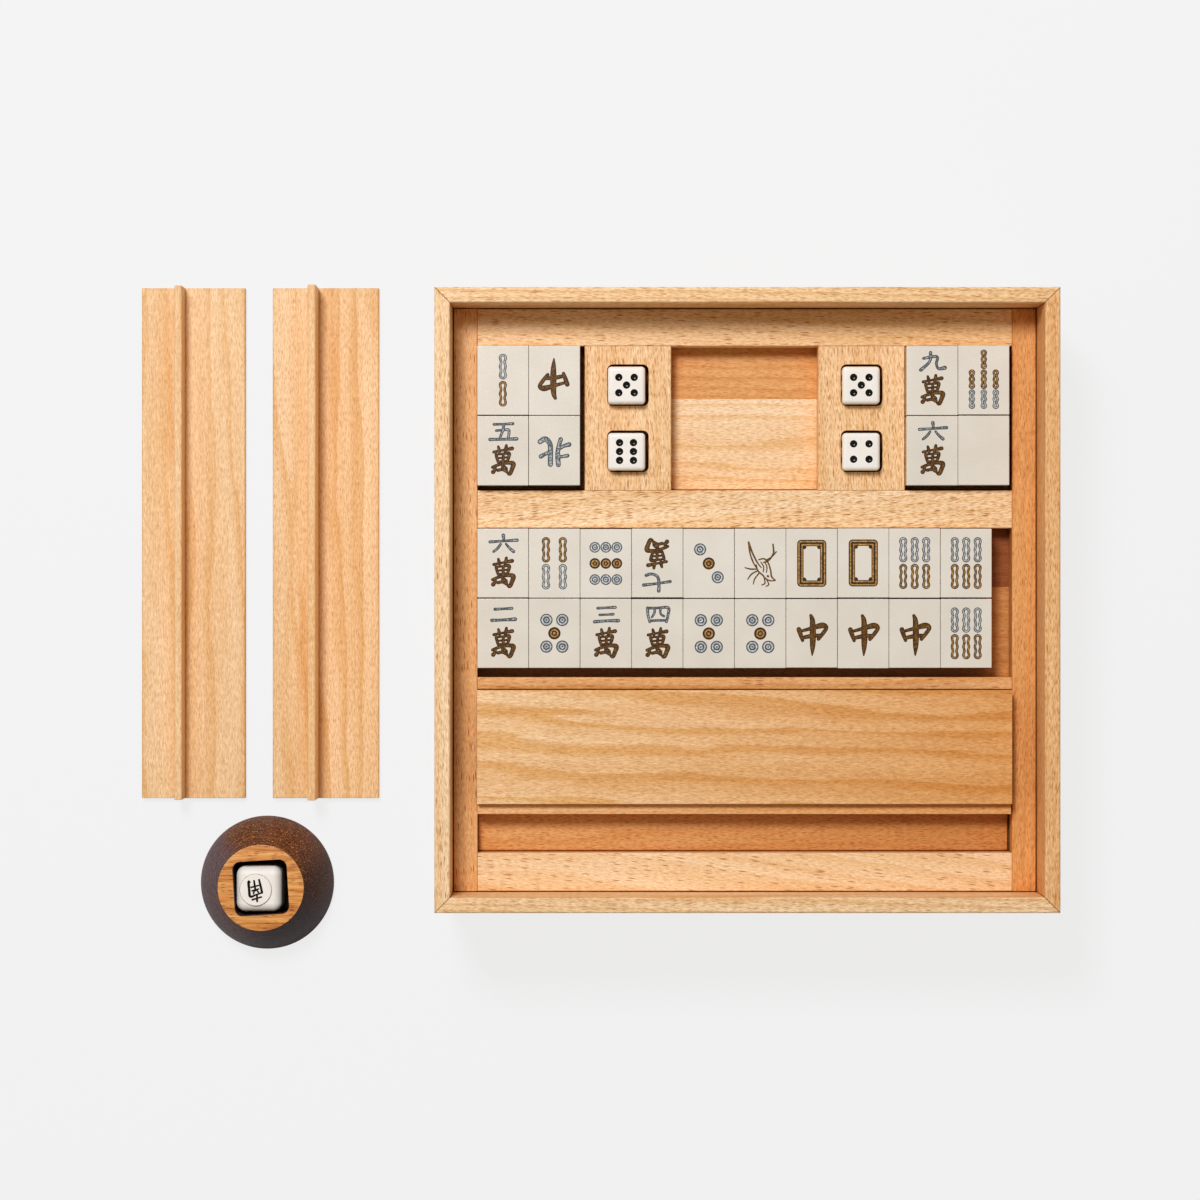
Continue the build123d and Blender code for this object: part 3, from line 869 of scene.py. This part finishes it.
# The tiles of each node, from the back.
FACES = {
    "tiles_back_left_1": [STICKS[2], character(5)],
    "tiles_back_left_2": [MIDDLE_TURNED, NORTH_TURNED],
    "tiles_back_right_1": [character(9), character(6)],
    "tiles_back_right_2": [STICKS[7], blank],
    "tiles_row_01": [character(6), character(2)],
    "tiles_row_02": [STICKS[4], DOTS[5]],
    "tiles_row_03": [DOTS[9], character(3)],
    "tiles_row_04": [character(7, True), character(4)],
    "tiles_row_05": [DOTS[3], DOTS[5]],
    "tiles_row_06": [BIRD_MARK, DOTS[5]],
    "tiles_row_07": [framed, MIDDLE_MARK],
    "tiles_row_08": [framed, MIDDLE_MARK],
    "tiles_row_09": [STICKS[6], MIDDLE_MARK],
    "tiles_row_10": [STICKS[6], STICKS[6]],
}


def drawer_faces(level):
    """The marks of a drawer's tiles, in order: characters and sticks below, dots and the rest above."""
    if level == "lower":
        suits = [character(n) for n in range(1, 10)] + STICKS[2:]
    else:
        suits = DOTS[1:] + [BIRD_MARK, framed, MIDDLE_MARK, NORTH_MARK, SOUTH_MARK]
    return [suits[i * len(suits) // DRAWER_TILES] for i in range(DRAWER_TILES)]


def ink_object(name, drawings, materials, node):
    """One piece from drawings, each with the point that its middle lies on."""
    verts, faces, layers = [], [], []
    for drawing, middle in drawings:
        base = len(verts)
        verts += [middle + Vector(v) * MM for v in drawing.verts]
        faces += [tuple(base + i for i in face) for face in drawing.faces]
        layers += drawing.layers
    if not faces:
        return
    mesh = bpy.data.meshes.new(name)
    mesh.from_pydata(verts, [], faces)
    for face, layer in zip(mesh.polygons, layers):
        face.material_index = layer
    place(bpy.data.objects.new(name, mesh), node, *materials)


def make_marks(node, boxes, faces, bronze_paints, silver_paints):
    """The painted marks on the tiles of one node."""
    bronze_ink, silver_ink = [], []
    for (low, high), draw in zip(boxes, faces):
        middle = over(low, high, high.z)
        bronze, silver = Drawing(), Drawing()
        draw(bronze, silver)
        bronze_ink.append((bronze, middle))
        silver_ink.append((silver, middle))
    ink_object(node + "_bronze", bronze_ink, bronze_paints, node)
    ink_object(node + "_silver", silver_ink, silver_paints, node)


def make_all_tiles():
    """Every tile in the tray and in both drawers."""
    resin = tile_plastic()
    bronze = [paint("bronze_edge", "#331D05", "#52320C"), paint("bronze", "#4E2F07", "#825A20"),
              paint("bronze_bright", "#94692C", "#CDA769")]
    silver = [paint("silver_edge", "#3B4146", "#5C6265"), paint("silver", "#555C60", "#BFC2C1"),
              paint("silver_bright", "#9DA2A2", "#E4E5E2")]
    for node, faces in FACES.items():
        make_marks(node, make_tiles(node, resin), faces, bronze, silver)
    for level in ("lower", "upper"):
        node = f"{level}_drawer_tiles"
        make_marks(node, make_tiles(node, resin), drawer_faces(level), bronze, silver)


# ---- dice

DIE_ROUND = 1.6 * MM
CUT_SHARP = 40          # edges of a die sharper than this stay crisp, in degrees
PIP = 1.60              # radius of a pip at the face, in millimetres
PIP_DEPTH = 0.85
SIX_CLOSER = 0.9        # a six's two rows of pips stand this much closer
PIP_PLACES = {
    1: [(0, 0)],
    2: [(-1, 1), (1, -1)],
    3: [(-1, 1), (0, 0), (1, -1)],
    4: [(-1, -1), (-1, 1), (1, -1), (1, 1)],
    5: [(-1, -1), (-1, 1), (1, -1), (1, 1), (0, 0)],
    6: [(-1, -1.15), (-1, 0), (-1, 1.15), (1, -1.15), (1, 0), (1, 1.15)],
}
PIP_STEP = 3.3
# For each number on top, the numbers to the right and at the back.
DIE_SIDES = {5: (3, 6), 6: (3, 5), 4: (2, 6)}


def ivory(name, roughness, coat):
    """Warm white, cast in one piece."""
    mat = Material(name, roughness, Specular_IOR_Level=0.5, Coat_Weight=coat, Coat_Roughness=0.06)
    cloud = mat.noise(mat.coords((120, 120, 120)), 2.0)
    colour = mat.ramp(cloud, (0.3, srgb("#F3EDE2")), (0.7, srgb("#F8F3EA")))
    return mat.finish(colour, cloud, 0.02, 0.00003)


def black_gloss():
    """The black paint of pips and of the wind die's sign."""
    mat = Material("black_gloss", 0.18, Specular_IOR_Level=0.35, Coat_Weight=0.15, Coat_Roughness=0.05)
    dust = mat.noise(mat.coords((1400, 1400, 1400)), 2.0)
    colour = mat.ramp(dust, (0.3, srgb("#040404")), (0.7, srgb("#0C0B0A")))
    return mat.finish(colour, dust, 0.03, 0.00002)


def cut_away(obj, cutter):
    """Take the cutter's volume out of a piece; its faces keep the cutter's material."""
    modifier = obj.modifiers.new("cut", "BOOLEAN")
    modifier.operation = "DIFFERENCE"
    modifier.solver = "EXACT"
    modifier.material_mode = "TRANSFER"
    modifier.object = cutter
    graph = bpy.context.evaluated_depsgraph_get()
    result = bpy.data.meshes.new_from_object(obj.evaluated_get(graph), depsgraph=graph)
    obj.modifiers.remove(modifier)
    old = obj.data
    obj.data = result
    bpy.data.meshes.remove(old)
    bpy.data.objects.remove(cutter)


def scene_object(obj, *materials):
    """Link an object and give it materials, so that a modifier can use it."""
    for material in materials:
        obj.data.materials.append(material)
    bpy.context.scene.collection.objects.link(obj)
    bpy.context.view_layer.update()
    return obj


def place_cut(obj, node, sharp):
    """Shade a cut piece and put it on the body of the node that it replaces."""
    for face in obj.data.polygons:
        face.use_smooth = True
    obj.data.set_sharp_from_angle(angle=math.radians(sharp))
    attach(obj, BODY_OF[node])
    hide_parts(node)


def pip_cutter(middle, half, tops, material):
    """A group of balls that touch the faces of a die where its pips are."""
    ball = (PIP ** 2 + PIP_DEPTH ** 2) / (2 * PIP_DEPTH)
    mesh_data = bmesh.new()
    for normal, across, up, number in tops:
        for u, v in PIP_PLACES[number]:
            step_u = PIP_STEP * (SIX_CLOSER if number == 6 else 1.0)
            at = normal * (half + (ball - PIP_DEPTH) * MM)
            at += across * u * step_u * MM + up * v * PIP_STEP * MM
            spot = Matrix.Translation(middle + at)
            bmesh.ops.create_icosphere(mesh_data, subdivisions=4, radius=ball * MM, matrix=spot)
    return scene_object(object_from(mesh_data, "pips"), material)


def make_die(node, top, white, black):
    """A rounded die with drilled, blackened pips; opposite faces add up to seven."""
    low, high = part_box(node)
    middle, half = (low + high) / 2, (high.x - low.x) / 2
    die = scene_object(object_from(rounded_block(low, high, DIE_ROUND, 8), node + "_ivory"), white)
    right, back = DIE_SIDES[top]
    x, y, z = Vector((1, 0, 0)), Vector((0, 1, 0)), Vector((0, 0, 1))
    tops = [(z, x, y, top), (-z, x, y, 7 - top), (x, y, z, right), (-x, y, z, 7 - right),
            (y, x, z, back), (-y, x, z, 7 - back)]
    cut_away(die, pip_cutter(middle, half, tops, black))
    place_cut(die, node, CUT_SHARP)


def make_dice():
    """The four dice, each with its number on top; returns the black of their pips."""
    white, black = ivory("die_ivory", 0.2, 0.3), black_gloss()
    for node, top in (("die_1", 5), ("die_2", 6), ("die_3", 5), ("die_4", 4)):
        make_die(node, top, white, black)
    return black


# ---- wind indicator

def walnut_side(middle):
    """The turned side: dark layers that follow the cone, a warm speckled quarter, open pores, a painted
    shadow on its front right and painted shade in its hollows.
    """
    mat = Material("walnut_side", 0.55, Specular_IOR_Level=0.25)
    about = mat.coords((1, 1, 1), (-middle.x, -middle.y, 0))
    x, y, z = mat.add("SeparateXYZ", {0: about}).outputs
    wobble = mat.noise(mat.coords((28, 60, 90)), 4.0, 0.6)
    level = mat.math("MULTIPLY_ADD", z, 620.0, mat.math("MULTIPLY", y, 160.0))
    level = mat.math("MULTIPLY_ADD", wobble, 6.0, level)
    layers = mat.ramp(mat.math("FRACT", level), (0.0, 0.15), (0.55, 0.55), (0.85, 1.0), (1.0, 0.15))
    fine = mat.noise(mat.coords((160, 900, 1400)), 4.0, 0.65)
    cool = mat.mix(layers, srgb("#251B1E"), srgb("#725556"))
    cool = mat.mix(mat.ramp(fine, (0.45, 0.0), (0.68, 0.5)), cool, srgb("#85645A"))
    warm = mat.mix(layers, srgb("#2C1409"), srgb("#7A4220"))
    specks = mat.noise(mat.coords((1500, 1500, 1500)), 2.0, 0.7)
    warm = mat.mix(mat.ramp(specks, (0.57, 0.0), (0.66, 0.9)), warm, srgb("#CB9359"))
    turn = mat.math("MULTIPLY_ADD", x, 30.0, mat.math("MULTIPLY", y, 46.0))
    side = mat.ramp(mat.math("MULTIPLY_ADD", wobble, 0.8, turn), (0.55, 0.0), (1.15, 1.0))
    colour = mat.mix(side, cool, warm)
    # painted shadow: the front right of the side, away from the light, is darker and cooler
    shadow = mat.ramp(mat.math("SUBTRACT", mat.math("MULTIPLY", x, 30.0), mat.math("MULTIPLY", y, 24.0)),
                      (0.05, 0.0), (0.62, 0.9))
    colour = tinted(mat, colour, shadow, (0.28, 0.29, 0.35))
    pores = dashes(mat, mat.coords((300, 1500, 1500)), 0.42, 0.6)
    colour = tinted(mat, colour, mat.math("MULTIPLY", pores, 0.7), (0.30, 0.24, 0.22))
    # painted shade in the hollows
    colour = tinted(mat, colour, crevice_shade(mat)[0], (0.25, 0.15, 0.10))
    return mat.finish(colour, mat.math("SUBTRACT", mat.math("ADD", layers, fine), pores), 0.35, 0.0002)


def walnut_top():
    """The sanded flat top: orange-brown, with dark lines along X."""
    mat = Material("walnut_top", 0.45, Specular_IOR_Level=0.3)
    shift = (3.1, 7.7, 1.9)
    slow = mat.noise(mat.coords((26, 230, 230), shift), 4.0, 0.6, 0.8)
    fine = mat.noise(mat.coords((80, 1500, 1500), shift), 4.0, 0.65)
    colour = mat.ramp(slow, (0.34, srgb("#B4662A")), (0.50, srgb("#E39A50")), (0.66, srgb("#F6BC70")))
    colour = mat.mix(mat.ramp(fine, (0.50, 0.0), (0.68, 0.6)), colour, srgb("#8A4A1E"))
    pores = dashes(mat, mat.coords((260, 1600, 1600), shift), 0.42, 0.5)
    colour = tinted(mat, colour, pores, (0.45, 0.32, 0.22))
    return mat.finish(colour, mat.math("SUBTRACT", fine, pores), 0.2, 0.00015)


def lathe(outline, middle, count):
    """Turn an outline of (radius, height) points round a vertical axis."""
    return skin([[middle + Vector((radius * math.cos(t), radius * math.sin(t), height))
                  for t in round_angles(count)] for radius, height in outline])


def indicator_outline(low, high, top_radius):
    """The turned side from foot to top, with faint tool ridges."""
    foot, height = (high.x - low.x) / 2, high.z - low.z
    band, bulge, ridge, ridges, steps = 2.5 * MM, 1.6 * MM, 0.05 * MM, 15, 60
    points = [(foot - 0.4 * MM, 0.0), (foot - 0.1 * MM, 0.15 * MM),
              (foot - 0.02 * MM, 0.5 * MM), (foot, band)]
    for i in range(1, steps):
        t = i / steps
        radius = foot + (top_radius - foot) * t + bulge * 4 * t * (1 - t)
        inward = ridge * (0.5 - 0.5 * math.cos(2 * math.pi * ridges * t))
        points.append((radius - inward, band + (height - band) * t))
    points += [(top_radius + 0.15 * MM, height - 0.25 * MM), (top_radius - 0.1 * MM, height - 0.05 * MM),
               (top_radius - 0.4 * MM, height)]
    return points


def socket_plug(middle, top, material):
    """A square plug with round corners that reaches down from over the top into the socket."""
    square = round_rect(WIND_SOCKET, WIND_SOCKET, WIND_SOCKET_R, 8)
    turned = [turned_by(WIND_SOCKET_TURN, x, y) for x, y in square]
    rings = [[(middle.x + x * MM, middle.y + y * MM, top + level * MM) for x, y in turned]
             for level in (-WIND_SOCKET_DEPTH, WIND_SOCKET_OVER)]
    return scene_object(object_from(skin(rings), "socket"), material)


INDICATOR_TOP_R = 19.0 * MM
BOSS_R = 6.9            # radius of the wind die's boss, in millimetres
WIND_SOCKET = 24.0
WIND_SOCKET_TURN = math.radians(3.5)
WIND_SOCKET_R = 3.5
WIND_SOCKET_DEPTH = 20.8
WIND_SOCKET_OVER = 5.0  # how far the cutting plug stands out over the top
TOP_BAND = 0.3 * MM     # faces this close under the top that face up are the sanded top
TURNED_SHARP = 30       # edges of the holder sharper than this stay crisp, in degrees


def make_indicator():
    """The turned holder: a lathe form with a square socket."""
    node = "indicator_body"
    low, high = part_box(node)
    middle = over(low, high, low.z)
    outline = indicator_outline(low, high, INDICATOR_TOP_R)
    body = object_from(lathe(outline, middle, 160), "indicator_turned")
    scene_object(body, walnut_side(middle), walnut_top())
    for face in body.data.polygons:
        if face.normal.z > 0.95 and face.center.z > high.z - TOP_BAND:
            face.material_index = 1
    cut_away(body, socket_plug(middle, high.z, body.data.materials[0]))
    place_cut(body, node, TURNED_SHARP)


WIND_DIE_BARREL = 0.05  # how much the wind die's sides draw in towards its corners
WIND_DIE_ROUND = 3.8 * MM
BOSS_RISE = 0.45 * MM
BOSS_OFF = Vector((-1.2, -0.3, 0.0)) * MM
SIGN_TURN = math.radians(190)
SIGN_SCALE = (0.66, 0.80)
SIGN_WEIGHT = 1.15
RING_WIDTH = 0.22       # the grey line round the boss


def barrel(mesh_data, middle, half):
    """Draw a cube's faces in towards its corners, so that its sides swell."""
    for vert in mesh_data.verts:
        off = [(vert.co[i] - middle[i]) / half for i in range(3)]
        for i in range(3):
            others = sum(off[j] ** 2 for j in range(3) if j != i) / 2
            vert.co[i] = middle[i] + off[i] * half * (1 - WIND_DIE_BARREL * others)


def make_wind_die(black):
    """The white wind die: a barrel-like cube with a round boss and a brushed sign on top."""
    node = "indicator_die"
    low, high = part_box(node)
    white = ivory("wind_die_ivory", 0.6, 0.0)
    mesh_data = rounded_block(low, high - Vector((0, 0, BOSS_RISE)), WIND_DIE_ROUND, 10)
    barrel(mesh_data, (low + high) / 2, (high.x - low.x) / 2)
    die = place(object_from(mesh_data, "wind_die_resin"), node, white, smooth=True)
    keep_flats_flat(die)
    middle = over(low, high, high.z) + BOSS_OFF
    outline = [(BOSS_R * MM, -3 * BOSS_RISE), (BOSS_R * MM, -0.15 * MM), ((BOSS_R - 0.15) * MM, 0.0)]
    disc = place(object_from(lathe(outline, middle, 96), "wind_die_boss"), node, white)
    ink = Drawing()
    for points in SOUTH:
        path = [(*turned_by(SIGN_TURN, x * SIGN_SCALE[0], y * SIGN_SCALE[1]), SIGN_WEIGHT * w)
                for x, y, w in points]
        ink.brush(path, EDGE)
    ink_object("wind_die_sign", [(ink, middle)], [black], node)
    line = Drawing()
    line.ring(0.0, 0.0, BOSS_R + RING_WIDTH, BOSS_R, EDGE, 64)
    grey = paint("boss_line", "#A79E8F", "#C4BCAE")
    ink_object("wind_die_line", [(line, middle - Vector((0, 0, BOSS_RISE)))], [grey], node)
    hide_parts(node)
    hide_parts(node)


# ---- light, floor and camera

PAPER = 0.913           # the photograph's background, as linear light
CAMERA_AT = (-62.15 * MM, 0.0, 1254.6 * MM)
LENS = 83.85            # for a 36 mm wide sensor
FLOOR_SHADOW = 0.12     # how much of the floor's own shading the camera sees
AMBIENT = 0.29
AMBIENT_COLOUR = (1.0, 0.90, 0.74, 1.0)
KEY_AT = (-0.46, 0.82, 1.65)    # behind the case, to the left
KEY_AIM = (0.0, 0.0, 0.05)
KEY_SIZE = 0.50
KEY_POWER = 27.5
KEY_COLOUR = (0.99, 1.0, 1.07)
FLOOR_SIZE = 3.0
FLOOR_COLOUR = (0.78, 0.79, 0.82, 1.0)
WHITE = (1.0, 1.0, 1.0, 1.0)


def make_key_light():
    """One soft square lamp."""
    light = bpy.data.lights.new("key", "AREA")
    light.shape = "SQUARE"
    light.size = KEY_SIZE
    light.energy = KEY_POWER
    light.color = KEY_COLOUR
    lamp = bpy.data.objects.new("key", light)
    lamp.location = KEY_AT
    lamp.rotation_euler = (Vector(KEY_AIM) - Vector(KEY_AT)).to_track_quat("-Z", "Y").to_euler()
    bpy.context.scene.collection.objects.link(lamp)


def make_world():
    """Even light all round; the camera sees the paper background."""
    world = bpy.data.worlds.new("studio")
    bpy.context.scene.world = world
    nodes = Nodes(world)
    background = nodes.tree.nodes["Background"]
    seen = nodes.add("LightPath").outputs["Is Camera Ray"]
    nodes.put(background.inputs["Color"], nodes.mix(seen, AMBIENT_COLOUR, WHITE))
    strength = nodes.add("MapRange", {"Value": seen, "To Min": AMBIENT, "To Max": PAPER})
    nodes.put(background.inputs["Strength"], strength.outputs["Result"])


def make_floor():
    """A wide pale floor: white paper to the camera, with the object's shadow on it."""
    mesh_data = bmesh.new()
    bmesh.ops.create_grid(mesh_data, x_segments=1, y_segments=1, size=FLOOR_SIZE)
    floor = object_from(mesh_data, "floor")
    material = bpy.data.materials.new("paper_floor")
    nodes = Nodes(material)
    nodes.tree.nodes.remove(nodes.tree.nodes["Principled BSDF"])
    diffuse = nodes.add("BsdfDiffuse", {"Color": FLOOR_COLOUR})
    glow = nodes.add("Emission", {"Color": (PAPER, PAPER, PAPER, 1.0)})
    part = nodes.math("MULTIPLY", nodes.add("LightPath").outputs["Is Camera Ray"], 1.0 - FLOOR_SHADOW)
    blend = nodes.add("MixShader", {0: part, 1: diffuse.outputs[0], 2: glow.outputs[0]})
    nodes.put(nodes.tree.nodes["Material Output"].inputs["Surface"], blend.outputs[0])
    floor.data.materials.append(material)
    bpy.context.scene.collection.objects.link(floor)


def make_camera():
    """Straight down from 1.2 m over the tray."""
    data = bpy.data.cameras.new("camera")
    data.sensor_width = 36.0
    data.lens = LENS
    data.clip_start = 0.01
    camera = bpy.data.objects.new("camera", data)
    camera.location = CAMERA_AT
    bpy.context.scene.collection.objects.link(camera)
    bpy.context.scene.camera = camera


make_boards()
make_tray_floor()
make_all_tiles()
die_black = make_dice()
make_indicator()
make_wind_die(die_black)
make_world()
make_floor()
make_key_light()
make_camera()
bpy.context.scene.view_settings.view_transform = "Standard"
